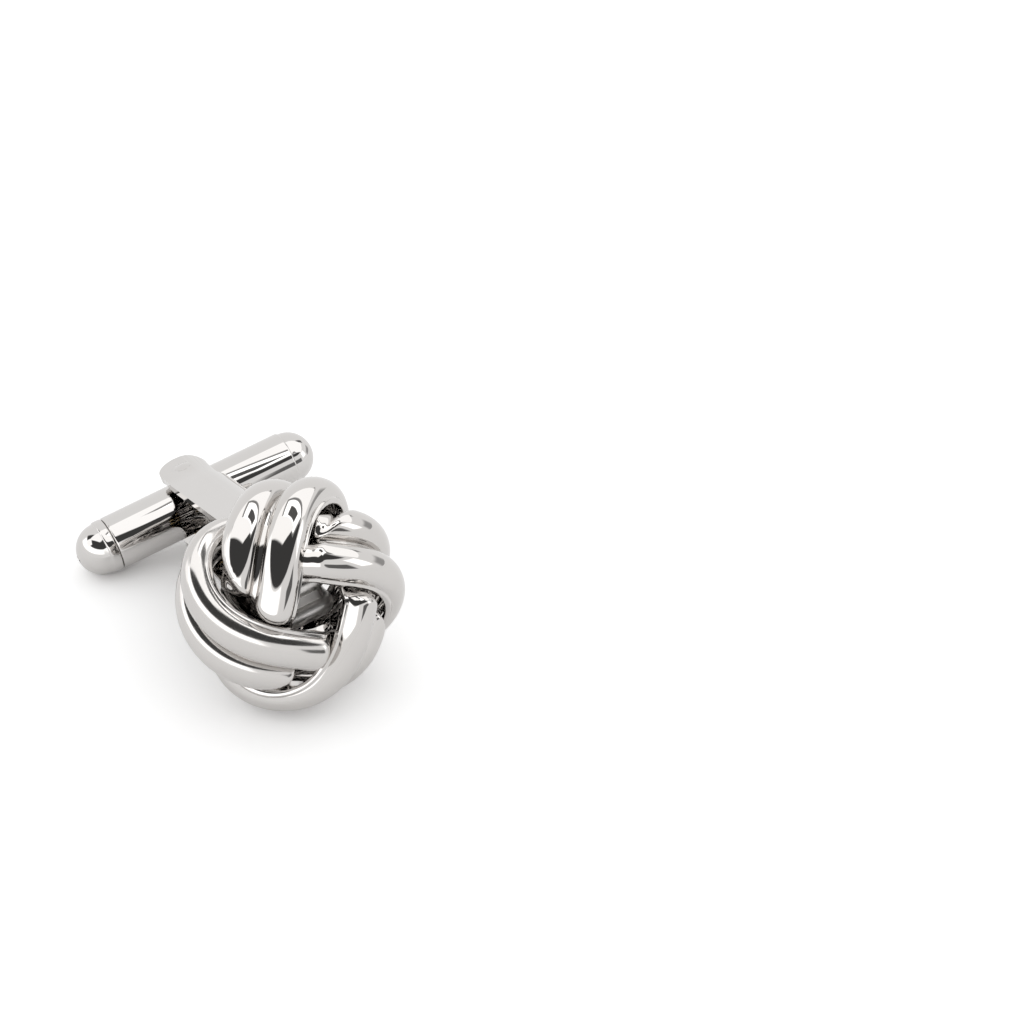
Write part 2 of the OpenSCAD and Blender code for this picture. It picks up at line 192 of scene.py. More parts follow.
# A closed skin drawn through rows of points; a row is a closed ring, and the last column meets the first
def skin(name, rows, material):
    columns = len(rows[0])
    deselectAll()
    bpy.ops.mesh.primitive_grid_add(x_subdivisions=columns, y_subdivisions=len(rows) - 1, size=1)
    piece = bpy.context.object
    piece.name = name
    piece.data.name = name
    spots = piece.data.vertices
    for index, spot in enumerate(spots):
        row, column = divmod(index, columns + 1)
        spot.co = Vector(rows[row][column % columns]) * mm
    inEditMode(piece, weld, faceOutward)
    piece.data.materials.append(material)
    return piece


def applyModifier(piece, kind, **settings):
    activate(piece)
    modifier = piece.modifiers.new(kind.lower(), kind)
    for key, value in settings.items():
        setattr(modifier, key, value)
    bpy.ops.object.modifier_apply(modifier=modifier.name)


def carve(piece, tool, operation="DIFFERENCE"):
    applyModifier(piece, "BOOLEAN", object=tool, operation=operation, solver="EXACT")
    bpy.data.objects.remove(tool)


edges = {"angle": 40.0, "segments": 3, "flatWeight": 80}


# Edges sharper than the given angle are rounded
def softEdges(piece, width, segments=edges["segments"]):
    applyModifier(piece, "BEVEL", width=width * mm, segments=segments, limit_method="ANGLE",
                  angle_limit=math.radians(edges["angle"]))
    smoothed(piece, edges["angle"])


# Broad flat faces keep their own shading, and the narrow rounds take up the turn
def evenShading(piece):
    applyModifier(piece, "WEIGHTED_NORMAL", keep_sharp=True, weight=edges["flatWeight"])


def layDown(piece, body, slotName, *nodes):
    piece.data.transform(linkPlace)
    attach(piece, body)
    if nodes:
        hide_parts(*nodes)


# The knot: four strips, each with two half-round ribs

# Lengths are in mm and angles in degrees. The lists follow a strip from its start, one value a step
knot = {
    "radius": 7.1, "halfDepth": 5.85, "frontFlatShare": 0.08, "turn": 13.0, "centre": 17.0,
    "weaveTip": 7.5, "weaveYaw": 5.0,
    "stripWidth": 5.6, "ribHeight": 1.1, "ribPitch": 2.75, "land": 0.18, "thickness": 0.38,
    "edgeRound": 0.07,
    "firstAngle": -45.0, "stepAngle": 35.0,
    "polarSteps": (103, 68, 44, 40.5, 57, 101, 122.5, 127, 128, 130),
    "liftShares": (-0.05, -0.05, -0.08, -0.18, 0.12, 0.44, 0.12, -2.0, -3.2, -4.0),
    "rollSteps": (4, 4, 4, 6, 1, 6, 0, -18, -20, -20),
    "startAngle": 6.0, "endAngle": 196.0, "rows": 150,
    "dipLine": (41.0, 27.0, 23.0), "dipLength": 15.0, "dipDepthShare": 1.45,
    "ribStarts": {"a": (30.0, 43.0), "b": (21.0, 33.0), "c": (29.0, 42.0), "d": (31.0, 45.0)},
    "ribEndLength": 9.0, "ribEndBow": 7.0,
    "ribFadeLength": 9.0, "tailNarrowFrom": 125.0, "tailFrontShare": 0.4, "tailRearShare": 0.62,
    "bowShare": 1.3, "wallShare": 0.8, "grooveShare": 0.05, "ribPoints": 17, "ribInsetShare": 0.35,
    "slopeStep": 1.0, "rimTurns": (90, 60, 30, 0),
    "endRound": 0.6, "endRoundShares": ((0.0, 0.0), (0.12, 0.6), (0.35, 0.9)),
    "plating": {"a": "knotPlating", "b": "knotPlating", "c": "knotPlating", "d": "softKnotPlating"},
    "sharpAngle": 40.0,
}
ballRadius = knot["radius"] - knot["ribHeight"]
ballDepth = knot["halfDepth"] - knot["ribHeight"]
bowRadius = knot["bowShare"] * ballRadius
askew = (Matrix.Rotation(-math.radians(knot["weaveTip"]), 3, "X")
         @ Matrix.Rotation(math.radians(knot["weaveYaw"]), 3, "Z"))


# Rises from 0 to 1 with no kink at either end
def smoothStep(u):
    c = max(0.0, min(1.0, u))
    return c ** 3 * (10 - 15 * c + 6 * c * c)


# A smooth curve led by evenly spaced values
def spline(values, u):
    i = max(1, min(len(values) - 3, math.floor(u)))
    f = u - i
    return ((1 - f) ** 3 * values[i - 1] + (3 * f ** 3 - 6 * f ** 2 + 4) * values[i]
            + (-3 * f ** 3 + 3 * f ** 2 + 3 * f + 1) * values[i + 1] + f ** 3 * values[i + 2]) / 6


def along(values, s):
    return spline(values, (s - knot["firstAngle"]) / knot["stepAngle"])


# The squashed ball that the strips lie on, at progress s along a strip
def ballPoint(s, turn):
    polar = math.radians(along(knot["polarSteps"], s))
    a = math.radians(turn - s)
    flat = knot["frontFlatShare"] if math.cos(polar) > 0 else 0
    return Vector((ballRadius * math.sin(polar) * math.cos(a),
                   -ballDepth * math.cos(polar) * (1 - flat * math.cos(polar) ** 2),
                   ballRadius * math.sin(polar) * math.sin(a)))


def ballNormal(q):
    return Vector((q.x / ballRadius ** 2, q.y / ballDepth ** 2, q.z / ballRadius ** 2)).normalized()


def stripSpine(s, turn):
    q = ballPoint(s, turn)
    return q + knot["ribHeight"] * along(knot["liftShares"], s) * ballNormal(q)


# Middle of a strip at progress s, with its sideways and its outward direction
def stripFrame(s, turn):
    middle = stripSpine(s, turn)
    step = knot["slopeStep"]
    forward = (stripSpine(s + step, turn) - stripSpine(s - step, turn)).normalized()
    out = ballNormal(ballPoint(s, turn))
    out = (out - out.dot(forward) * forward).normalized()
    side = out.cross(forward)
    roll = math.radians(along(knot["rollSteps"], s))
    across = math.cos(roll) * side - math.sin(roll) * out
    return middle, across, math.cos(roll) * out + math.sin(roll) * side


def dipLine(x):
    u = 2 * x / knot["stripWidth"]
    a, b, c = knot["dipLine"]
    return a + b * u + c * u * u


# The start of a strip is sunk, so that it passes under its neighbour
def dip(s, x):
    depth = knot["dipDepthShare"] * knot["thickness"]
    return depth * (1 - smoothStep((s - dipLine(x)) / knot["dipLength"] + 0.5))


# Rises from 0 to 1 as a quarter circle
def dome(u):
    return math.sqrt(max(0.0, 1 - (1 - max(0.0, min(1.0, u))) ** 2))


# Height shares across one rib at progress s; its front end is round in plan
def ribShape(s, start, crosswise):
    fade = dome((knot["endAngle"] - s) / knot["ribFadeLength"])
    shares = []
    for a in crosswise:
        late = knot["ribEndBow"] * (1 - math.sin(a))
        shares.append(fade * dome((s - start - late) / knot["ribEndLength"]) * math.sin(a))
    return shares


# The tail of a strip is drawn narrower behind the knot
def narrowed(s, x):
    share = knot["tailFrontShare"] if x < 0 else knot["tailRearShare"]
    gone = (s - knot["tailNarrowFrom"]) / (knot["endAngle"] - knot["tailNarrowFrom"])
    return x * (1 - share * smoothStep(gone))


ribSpan = knot["ribPoints"] - 1 + 2 * knot["ribInsetShare"]
ribAngles = [math.pi * (i + knot["ribInsetShare"]) / ribSpan for i in range(knot["ribPoints"])]
fullRib = [math.sin(a) for a in ribAngles]


# Points across a ribbed strip as (distance across, height), from its left land to its right one
def ribLine(width, pitch, land, height, shapes):
    half = (width - pitch) / 2 - land
    left = [(-pitch / 2 - half * math.cos(a), height * h) for a, h in zip(ribAngles, shapes[0])]
    right = [(pitch / 2 - half * math.cos(a), height * h) for a, h in zip(ribAngles, shapes[1])]
    groove = (0.0, height * (max(shapes[0]) + max(shapes[1])) / 2 * knot["grooveShare"])
    return left + [groove] + right


# Closed section of a ribbed strip, each upper point with a lower partner; a share below 1 thins it to a rim
def ribbedSection(width, pitch, land, height, shapes, thickness, share):
    r = knot["edgeRound"]
    corner = [math.radians(a) for a in knot["rimTurns"]]
    rim = [(-width / 2 + r - r * math.sin(a), -r + r * math.cos(a)) for a in corner]
    top = rim + ribLine(width, pitch, land, height, shapes) + [(-x, y) for x, y in reversed(rim)]
    innerLand = land + thickness * knot["wallShare"]
    under = [(x, -thickness - y) for x, y in rim]
    under += [(x, y - thickness) for x, y in ribLine(width, pitch, innerLand, height, shapes)]
    under += [(-x, -thickness - y) for x, y in reversed(rim)]
    upper, lower = [], []
    for (x, y), (u, v) in zip(top, under):
        middle = ((x + u) / 2, (y + v) / 2)
        upper.append(tuple(m + (p - m) * share for p, m in zip((x, y), middle)))
        lower.append(tuple(m + (p - m) * share for p, m in zip((u, v), middle)))
    return upper + list(reversed(lower))


# A strip is bowed across its width; y is the height over the bow
def placedOn(place, x, y):
    middle, side, out = place
    a = x / bowRadius
    return middle + (bowRadius + y) * math.sin(a) * side + ((bowRadius + y) * math.cos(a) - bowRadius) * out


def stripRow(s, turn, ribStarts, share):
    place = stripFrame(s, turn)
    shapes = [ribShape(s, start, ribAngles) for start in ribStarts]
    section = ribbedSection(knot["stripWidth"], knot["ribPitch"], knot["land"], knot["ribHeight"], shapes,
                            knot["thickness"], share)
    shift = Vector((0, -knot["centre"], 0))
    return [askew @ placedOn(place, narrowed(s, x), y - dip(s, x)) + shift for x, y in section]


def stripRows(turn, ribStarts):
    count = knot["rows"]
    span = knot["endAngle"] - knot["startAngle"]
    stations = [(knot["startAngle"] + span * i / count, 1) for i in range(count + 1)]
    start, end = knot["startAngle"] - knot["endRound"], knot["endAngle"] + knot["endRound"]
    first = [(start + gone, share) for gone, share in knot["endRoundShares"]]
    last = [(end - gone, share) for gone, share in reversed(knot["endRoundShares"])]
    return [stripRow(s, turn, ribStarts, share) for s, share in first + stations + last]


for number, letter in enumerate("abcd"):
    rows = stripRows(knot["turn"] + 90 * number, knot["ribStarts"][letter])
    strip = skin("strip_" + letter, rows, metals[knot["plating"][letter]])
    smoothed(strip, knot["sharpAngle"])
    layDown(strip, "knot_and_post", "knot_metal", "knot_band_" + letter)
print("knot strips made")


# The small ribbed strip in the middle: a staple whose crown faces out of the hole

core = {
    "width": 3.4, "ribHeight": 0.55, "thickness": 0.35, "rise": 2.2, "span": 4.4, "bendRadius": 1.0,
    "legFoot": 14.27,   # from the pivot; the legs stop just short of the brace
    "turnSteps": 14, "legSteps": 6, "sharpAngle": 40.0,
}


# Up one leg, round the two bends and down the other leg, as (x, y, facing angle)
def coreStations():
    bend = core["bendRadius"] - core["ribHeight"]
    half = core["span"] / 2 - core["ribHeight"]
    front = -knot["centre"] - core["rise"] + core["ribHeight"]
    leg = [-core["legFoot"] + (front + bend + core["legFoot"]) * i / core["legSteps"]
           for i in range(core["legSteps"])]
    turn = [math.pi / 2 * i / core["turnSteps"] for i in range(core["turnSteps"] + 1)]
    right = [(half, y, 0.0) for y in leg]
    right += [(half - bend * (1 - math.cos(a)), front + bend * (1 - math.sin(a)), a) for a in turn]
    return right + [(-x, y, math.pi - a) for x, y, a in reversed(right)]


def coreRow(x, y, angle, share):
    out = Vector((math.cos(angle), -math.sin(angle), 0))
    pitch = core["width"] / 2 + knot["land"]
    section = ribbedSection(core["width"], pitch, knot["land"], core["ribHeight"], (fullRib, fullRib),
                            core["thickness"], share)
    return [Vector((x, y, 0)) + h * out + Vector((0, 0, -w)) for w, h in section]


stations = coreStations()
coreRows = [coreRow(*stations[0], 0.0)] + [coreRow(*s, 1.0) for s in stations] + [coreRow(*stations[-1], 0.0)]
# The staple takes the plating drawn lighter, painted light against the shade of the hole
coreStrip = skin("coreStaple", coreRows, metals["coreLightenedPlating"])
smoothed(coreStrip, core["sharpAngle"])
layDown(coreStrip, "knot_and_post", "core_metal", "core_strip")
print("core strip made")


# The bullet: a tube drawn to a round end, and a cap pressed into the other one behind a fine seam

bullet = {
    "radius": 1.9, "half": 9.0, "wall": 0.35, "capLength": 2.5, "seam": 0.03, "lip": 0.12,
    "domeRadius": 1.8, "shoulder": 0.16, "domeSteps": 22, "lipSteps": 5,
    "domeAngle": 86.0, "shoulderAngle": 30.0,   # degrees from the axis, where the arc of each one ends
    "ventRadius": 0.25, "ventDepth": 0.5, "ventRim": 0.06, "plugLength": 1.2, "plugGap": 0.03,
    "boreRadius": 0.87, "boreLength": 7.6, "boreSteps": 64, "sharpAngle": 35.0,
}
lathe = {"seed": 0.1, "turns": 128}


# Points of an arc as (x, distance from the axis)
def arc(centreX, centreR, radius, start, end, steps):
    angles = [math.radians(start + (end - start) * i / steps) for i in range(steps + 1)]
    return [(centreX + radius * math.cos(a), centreR + radius * math.sin(a)) for a in angles]


# A turned piece: its outline is drawn out point by point, then spun about X
def turned(name, outline, material):
    deselectAll()
    first = outline[0]
    bpy.ops.mesh.primitive_plane_add(size=lathe["seed"] * mm, location=(first[0] * mm, 0, first[1] * mm))
    piece = bpy.context.object
    piece.name = name
    piece.data.name = name
    bpy.ops.object.mode_set(mode="EDIT")
    bpy.ops.mesh.select_all(action="SELECT")
    bpy.ops.mesh.merge(type="CENTER")
    for (x0, r0), (x1, r1) in zip(outline, outline[1:]):
        step = ((x1 - x0) * mm, 0, (r1 - r0) * mm)
        bpy.ops.mesh.extrude_region_move(TRANSFORM_OT_translate={"value": step})
    bpy.ops.mesh.select_all(action="SELECT")
    bpy.ops.mesh.spin(steps=lathe["turns"], angle=2 * math.pi, center=(0, 0, 0), axis=(1, 0, 0))
    bpy.ops.mesh.select_all(action="SELECT")
    weld()
    faceOutward()
    bpy.ops.object.mode_set(mode="OBJECT")
    bpy.ops.object.transform_apply(location=True, rotation=True, scale=True)
    piece.data.materials.append(material)
    return piece


def bulletTube():
    r, wall, lip, dome = bullet["radius"], bullet["wall"], bullet["lip"], bullet["domeRadius"]
    shoulder, steps = bullet["shoulder"], bullet["lipSteps"]
    seam = -bullet["half"] + bullet["capLength"] + bullet["seam"]
    domeAt = bullet["half"] - dome
    outline = arc(seam + lip, r - lip, lip, 180, 90, steps)
    outline += arc(domeAt - shoulder, r - shoulder, shoulder, 90, bullet["shoulderAngle"], steps)
    outline += arc(domeAt, 0, dome, bullet["domeAngle"], 0, bullet["domeSteps"])[:-1] + [(bullet["half"], 0)]
    inner = arc(domeAt, 0, dome - wall, 0, bullet["domeAngle"], bullet["domeSteps"])[1:]
    outline += [(bullet["half"] - wall, 0)] + inner
    outline += [(domeAt - shoulder, r - wall), (seam, r - wall), (seam, r - lip)]
    return turned("bulletShell", outline, metals["bulletPlating"])


def bulletCap():
    r, wall, lip, dome = bullet["radius"], bullet["wall"], bullet["lip"], bullet["domeRadius"]
    shoulder, steps = bullet["shoulder"], bullet["lipSteps"]
    vent, rim = bullet["ventRadius"], bullet["ventRim"]
    seam = -bullet["half"] + bullet["capLength"]
    domeAt = -bullet["half"] + dome
    ventEnd = -bullet["half"] + bullet["ventDepth"]
    ventMouth = domeAt - math.sqrt(dome ** 2 - (vent + rim) ** 2)
    atVent = 180 - math.degrees(math.asin((vent + rim) / dome))
    outline = [(ventEnd, 0), (ventEnd, vent), (ventMouth + rim, vent), (ventMouth + rim / 3, vent + rim / 3)]
    outline += arc(domeAt, 0, dome, atVent, 180 - bullet["domeAngle"], bullet["domeSteps"])
    outline += arc(domeAt + shoulder, r - shoulder, shoulder, 180 - bullet["shoulderAngle"], 90, steps)
    outline += arc(seam - lip, r - lip, lip, 90, 0, steps)
    plugEnd, plugRadius = seam + bullet["plugLength"], r - wall - bullet["plugGap"]
    outline += [(seam, r - wall), (seam + lip, plugRadius), (plugEnd, plugRadius), (plugEnd, 0)]
    return turned("bulletCap", outline, metals["bulletPlating"])


shell = bulletTube()
deselectAll()
bpy.ops.mesh.primitive_cylinder_add(vertices=bullet["boreSteps"], radius=bullet["boreRadius"] * mm,
                                    depth=bullet["boreLength"] * mm)
carve(shell, bpy.context.object)
smoothed(shell, bullet["sharpAngle"])
layDown(shell, "bullet", "bullet_metal", "bullet_tube")
cap = bulletCap()
smoothed(cap, bullet["sharpAngle"])
layDown(cap, "bullet", "bullet_metal", "bullet_end_cap")
print("bullet made")


# The post: one sheet folded into a U, with a round eye at the end of each arm, a web with a window on
# one side, a slot for the leaf in the lower arm, and a foot that is soldered to the brace

# Lengths in mm, the spread of each arm in degrees. The arms part from bendAt on, and the web begins at
# webStart, both measured from the pivot
post = {
    "length": 12.75, "sheet": 0.5, "armHalf": 1.6, "eyeRadius": 1.65, "spread": 7.5, "bendAt": 2.0,
    "foldRadius": 2.0, "webStart": 2.6, "webRound": 0.35, "channelHalf": 2.45, "webOut": 2.5,
    "windowLength": 2.6, "windowWidth": 3.8, "windowRound": 0.6, "dimpleHeight": 0.12, "dimpleRadius": 0.55,
    "pinRadius": 0.55, "pinCover": 0.2, "seat": 0.02, "leafTip": 0.83, "leafEdge": 0.4, "seam": 0.08,
    "leaf": 0.3, "edge": 0.06,
    "foldSteps": 14, "eyeSteps": 56, "webSteps": 4, "windowSteps": 6, "dimpleSteps": 8, "pinSteps": 48,
    "dimpleRoot": 0.2, "dimpleLip": 0.02,
    # how far the sheet is drawn past its outline, and how far the cutting shapes reach
    "overrun": 1.0, "trim": 0.5, "outlineHalf": 6.0, "windowAcross": (1.0, 4.0),
    "slotSide": 3.0, "slotEnd": 2.0, "slotRise": (-8.0, -1.0),
}
armOut = post["channelHalf"] + post["sheet"]


# Half the width of the channel at a distance y from the pivot
def armInside(y):
    return post["channelHalf"] + max(0.0, y - post["bendAt"]) * math.tan(math.radians(post["spread"]))


# The folded section as (x, z), t outside its inner face, at a distance y from the pivot
def foldLine(y, t):
    half = armInside(y) + t
    r = post["foldRadius"] - post["sheet"] + t
    centre = post["webOut"] - post["foldRadius"]
    angles = [math.pi / 2 * i / post["foldSteps"] for i in range(post["foldSteps"] + 1)]
    lower = [(centre + r * math.sin(a), r * (1 - math.cos(a)) - half) for a in angles]
    start = -post["armHalf"] - post["overrun"]
    return [(start, -half)] + lower + [(x, -z) for x, z in reversed(lower)] + [(start, half)]


# Closes both ends of a list of rings by drawing each end ring together in its middle
def closedRows(rings):
    shut = []
    for ring in (rings[0], rings[-1]):
        middle = Vector((0, 0, 0))
        for point in ring:
            middle += point / len(ring)
        shut.append([middle] * len(ring))
    return [shut[0]] + rings + [shut[1]]


def sheetRing(y, t0, t1):
    return [Vector((x, -y, z)) for x, z in foldLine(y, t1) + list(reversed(foldLine(y, t0)))]


# A prism along the pin's direction from an outline in the plane of the bullet and the post
def prism(name, outline, low, high, material):
    deselectAll()
    bpy.ops.mesh.primitive_circle_add(vertices=len(outline), radius=mm, fill_type="NGON")
    piece = bpy.context.object
    piece.name = name
    for spot, (x, y) in zip(piece.data.vertices, outline):
        spot.co = Vector((x, y, low)) * mm
    rise = {"value": (0, 0, (high - low) * mm)}
    inEditMode(piece, lambda: bpy.ops.mesh.extrude_region_move(TRANSFORM_OT_translate=rise),
               lambda: bpy.ops.mesh.select_all(action="SELECT"), faceOutward)
    piece.data.materials.append(material)
    return piece


def block(name, low, high, material):
    corners = [(low[0], low[1]), (high[0], low[1]), (high[0], high[1]), (low[0], high[1])]
    return prism(name, corners, low[2], high[2], material)


# Outline of the sheet seen along the pin: round eye, straight shank, and the web's side further on
def armOutline():
    eye, half, far = post["eyeRadius"], post["armHalf"], -post["length"]
    reach = math.asin(half / eye)
    sweep = 2 * (math.pi - reach)
    ring = [(eye * math.sin(reach + sweep * i / post["eyeSteps"]),
             -eye * math.cos(reach + sweep * i / post["eyeSteps"])) for i in range(post["eyeSteps"] + 1)]
    beyond, r = post["webOut"] + post["overrun"], post["webRound"]
    turns = [math.pi / 2 * i / post["webSteps"] for i in range(post["webSteps"] + 1)]
    corner = [(half + r - r * math.sin(a), -post["webStart"] + r - r * math.cos(a)) for a in turns]
    return [(-half, far), (beyond, far), (beyond, -post["webStart"])] + corner + ring


def windowTool():
    near, far = post["length"] - post["sheet"], post["length"] - post["sheet"] - post["windowLength"]
    half, r = post["windowWidth"] / 2, post["windowRound"]
    turns = [math.pi / 2 * i / post["windowSteps"] for i in range(post["windowSteps"] + 1)]
    turnA = [(-far - r + r * math.sin(a), -half + r - r * math.cos(a)) for a in turns]
    turnB = [(y, -z) for y, z in reversed(turnA)]
    outline = [(-near, -half)] + turnA + turnB + [(-near, half)]
    tool = prism("window", outline, *post["windowAcross"], metals["framePlating"])
    # the outline was drawn as (y, z) and must now stand across the web
    tool.data.transform(Matrix(((0, 0, 1, 0), (1, 0, 0, 0), (0, 1, 0, 0), (0, 0, 0, 1))))
    inEditMode(tool, faceOutward)
    return tool


# The low dome pressed out over one end of the pin
def dimple(side):
    h, w, lip, steps = post["dimpleHeight"], post["dimpleRadius"], post["dimpleLip"], post["dimpleSteps"]
    radius = (w * w + h * h) / (2 * h)
    widest = math.asin(w / radius)
    root = armOut - post["dimpleRoot"]
    outline = [(root, 0), (root, w + lip), (armOut + lip / 2, w + lip)]
    outline += [(armOut + h - radius + radius * math.cos(widest * (1 - i / steps)),
                 radius * math.sin(widest * (1 - i / steps))) for i in range(1, steps)]
    outline += [(armOut + h, 0)]
    piece = turned("dimple", outline, metals["framePlating"])
    piece.data.transform(Matrix.Rotation(-side * math.pi / 2, 4, "Y"))
    return piece


def foldedSheet():
    rings = [sheetRing(y, 0, post["sheet"]) for y in
             (post["length"] + post["trim"], post["bendAt"], -post["eyeRadius"] - post["trim"])]
    ends = [[(a + b) / 2 for a, b in zip(ring, reversed(ring))] for ring in (rings[0], rings[-1])]
    return skin("postSheet", [ends[0]] + rings + [ends[1]], metals["framePlating"])


# The slot that the leaf fills, cut from the lower arm together with the seam round it
def leafSlot():
    below, above = post["slotRise"]
    return block("slot", (-post["slotSide"], -post["length"] - post["slotEnd"], below),
                 (post["leafEdge"], -post["leafTip"] + post["seam"], above), metals["framePlating"])


def postFoot():
    edge = foldLine(post["length"], post["sheet"] / 2)
    rings = [[Vector((x, y, z)) for x, z in edge]
             for y in (-post["length"] - post["trim"], post["sheet"] - post["length"])]
    return skin("foot", closedRows(rings), metals["framePlating"])


def pinHole():
    radius, half = post["pinRadius"] + post["seat"], armOut - post["pinCover"]
    deselectAll()
    bpy.ops.mesh.primitive_cylinder_add(vertices=post["pinSteps"], radius=radius * mm, depth=2 * half * mm)
    return bpy.context.object


def makePost():
    piece = foldedSheet()
    carve(piece, leafSlot())
    carve(piece, postFoot(), "UNION")
    reach = post["outlineHalf"]
    carve(piece, prism("outline", armOutline(), -reach, reach, metals["framePlating"]), "INTERSECT")
    carve(piece, windowTool())
    for side in (1, -1):
        carve(piece, dimple(side), "UNION")
    carve(piece, pinHole())
    softEdges(piece, post["edge"])
    evenShading(piece)
    layDown(piece, "knot_and_post", "frame_metal", "post_frame")


makePost()
print("post made")


# The leaf: a tongue of spring sheet that fills the slot of the lower arm, with a boss at its tip

boss = {"length": 1.25, "width": 1.2, "height": 0.22, "clipShare": 0.45, "fromSeam": 0.16, "edge": 0.07}


def makeLeaf():
    inner, outer = post["sheet"] - post["leaf"], post["sheet"]
    left, right = -post["armHalf"], post["leafEdge"] - post["seam"]
    rings = []
    for y in (post["length"], post["bendAt"], post["leafTip"]):
        z0, z1 = -armInside(y) - inner, -armInside(y) - outer
        rings.append([Vector(p) for p in ((left, -y, z1), (right, -y, z1), (right, -y, z0), (left, -y, z0))])
    piece = skin("leafSpring", closedRows(rings), metals["leafPlating"])
    x0 = right - boss["fromSeam"] + post["seam"] - boss["width"]
    y0 = -post["leafTip"] - post["seam"] - boss["length"]
    w, l, c = boss["width"], boss["length"], boss["clipShare"]
    outline = [(0, 0), (w * c, 0), (w, l * (1 - c)), (w, l), (0, l)]
    raised = prism("boss", [(x0 + x, y0 + y) for x, y in outline], -armOut - boss["height"],
                   -armOut + post["leaf"] / 2, metals["leafPlating"])
    carve(piece, raised, "UNION")
    softEdges(piece, boss["edge"])
    evenShading(piece)
    layDown(piece, "knot_and_post", "leaf_metal", "leaf_spring")


makeLeaf()
print("leaf made")


# Brace, solder and bush

brace = {"half": 2.4, "thickness": 0.4, "depth": 1.2, "edge": 0.09, "segments": 4}
pad = {"radius": 1.5, "thickness": 0.26, "waist": 0.1, "steps": 8, "sharpAngle": 30.0}
bush = {"endGap": 0.06, "pinGap": 0.03, "chamfer": 0.08, "sharpAngle": 30.0}


# Two bars crossed on edge, against the solder
def makeBrace():
    half, t = brace["half"], brace["thickness"] / 2
    near = -(post["length"] + pad["thickness"] + 2 * post["seat"])
    far = near - brace["depth"]
    # The brace takes the core's plating, drawn lighter as painted light
    bar = block("backBrace", (-half, far, -t), (half, near, t), metals["coreLightenedPlating"])
    carve(bar, block("bar", (-t, far, -half), (t, near, half), metals["coreLightenedPlating"]), "UNION")
    softEdges(bar, brace["edge"], brace["segments"])
    layDown(bar, "knot_and_post", "core_metal", "back_brace")


# The solder is drawn in a little round its rim
def makePad():
    half, r, steps = pad["thickness"] / 2, pad["radius"], pad["steps"]
    turns = [math.pi * i / steps for i in range(steps + 1)]
    edge = [(half * math.cos(a), r - pad["waist"] * math.sin(a)) for a in turns]
    piece = turned("solderPad", [(half, 0)] + edge + [(-half, 0)], metals["solderFillet"])
    piece.data.transform(Matrix.Translation((0, -(post["length"] + post["seat"] + half) * mm, 0))
                         @ Matrix.Rotation(math.pi / 2, 4, "Z"))
    smoothed(piece, pad["sharpAngle"])
    layDown(piece, "knot_and_post", "solder", "solder_pad")


# The bush fills the bore of the bullet and reaches nearly from arm to arm
def makeBush():
    r, bore = bullet["boreRadius"] - post["seat"], post["pinRadius"] + bush["pinGap"]
    half, c = post["channelHalf"] - bush["endGap"], bush["chamfer"]
    outline = [(-half, bore + c / 2), (-half, r - c), (-half + c, r), (half - c, r), (half, r - c),
               (half, bore + c / 2), (half - c / 2, bore), (-half + c / 2, bore), (-half, bore + c / 2)]
    piece = turned("pivotBush", outline, metals["bushBrass"])
    piece.data.transform(Matrix.Rotation(math.pi / 2, 4, "Y"))
    smoothed(piece, bush["sharpAngle"])
    layDown(piece, "bullet", "bush_metal", "pivot_bush")


makeBrace()
makePad()
makeBush()
print("brace, solder and bush made")


# The pin stays as it is and gets its finish

pinNode = frame["nodes"]["pivot_pin"]
pinNode.data.materials.clear()
pinNode.data.materials.append(metals["pinWire"])
print("pin finished")


# Studio: a white room and floor, and cards that only the metal sees

room = {
    "worldStrength": 1.0,
    "floorSize": 4000.0,      # mm
    "floorBright": 0.98,      # as the metal sees it
    "floorSeenBright": 1.2,   # as the camera sees it, so that only the near shadow shows
    "floorRoughness": 0.9,
}
# Cards bent on a dome round the origin, at a distance in mm, between two azimuths (0 is away, 90 is +X)
# and two elevations: a dark screen round the camera, a bright strip in front and one at the side, and
# dimmer ones to the right
domeGrid = {"columns": 24, "rows": 12}
domeCards = {
    "cameraScreen": {"azimuths": (106, 325), "elevations": (32, 74), "distance": 500, "level": 0.06,
                     "edge": 0.04},
    "frontStrip": {"azimuths": (185, 320), "elevations": (10, 32), "distance": 450, "level": 1.9,
                   "edge": 0.08},
    "sideDark": {"azimuths": (132, 165), "elevations": (0, 18), "distance": 400, "level": 0.15,
                 "edge": 0.15},
    "sideStrip": {"azimuths": (104, 126), "elevations": (8, 30), "distance": 400, "level": 1.9,
                  "edge": 0.12},
    "rightShade": {"azimuths": (66, 103), "elevations": (-6, 15), "distance": 400, "level": 0.4,
                   "edge": 0.3},
    "rightPost": {"azimuths": (58, 70), "elevations": (20, 46), "distance": 400, "level": 0.15,
                  "edge": 0.15},
}
# A level card close above the object, in mm; its left side is askew. Each side's X is given at the near
# and at the far end
overheadBox = {"leftX": (-9, -44), "rightX": (60, 60), "endsY": (-18, 24), "height": 38,
               "level": 1.5, "edge": 0.03}
# Flat cards close to the object: a soft box with a dark rim and a dark middle over the upright strip,
# and a small box beside the bullet's cap. Each faces a point and is sized by the angles it fills there
onRibs = {"facing": (-3, -13, 13), "azimuth": 50, "elevation": 62}
nearCards = {
    "ringRim": {**onRibs, "distance": 26.2, "width": 76, "height": 40, "level": 0.3, "edge": 0.05},
    "ringBox": {**onRibs, "distance": 26.0, "width": 66, "height": 32, "level": 2.2, "edge": 0.05},
    "ringHole": {**onRibs, "distance": 25.8, "width": 36, "height": 15, "level": 0.12, "edge": 0.08},
    "capBox": {"facing": (-9, 1, 3.5), "azimuth": 305, "elevation": 33, "distance": 22, "width": 30,
               "height": 22, "level": 1.5, "edge": 0.06},
}


def between(pair, share):
    return pair[0] + (pair[1] - pair[0]) * share


def direction(azimuth, elevation):
    a, e = math.radians(azimuth), math.radians(elevation)
    return Vector((math.sin(a) * math.cos(e), math.cos(a) * math.cos(e), math.sin(e)))


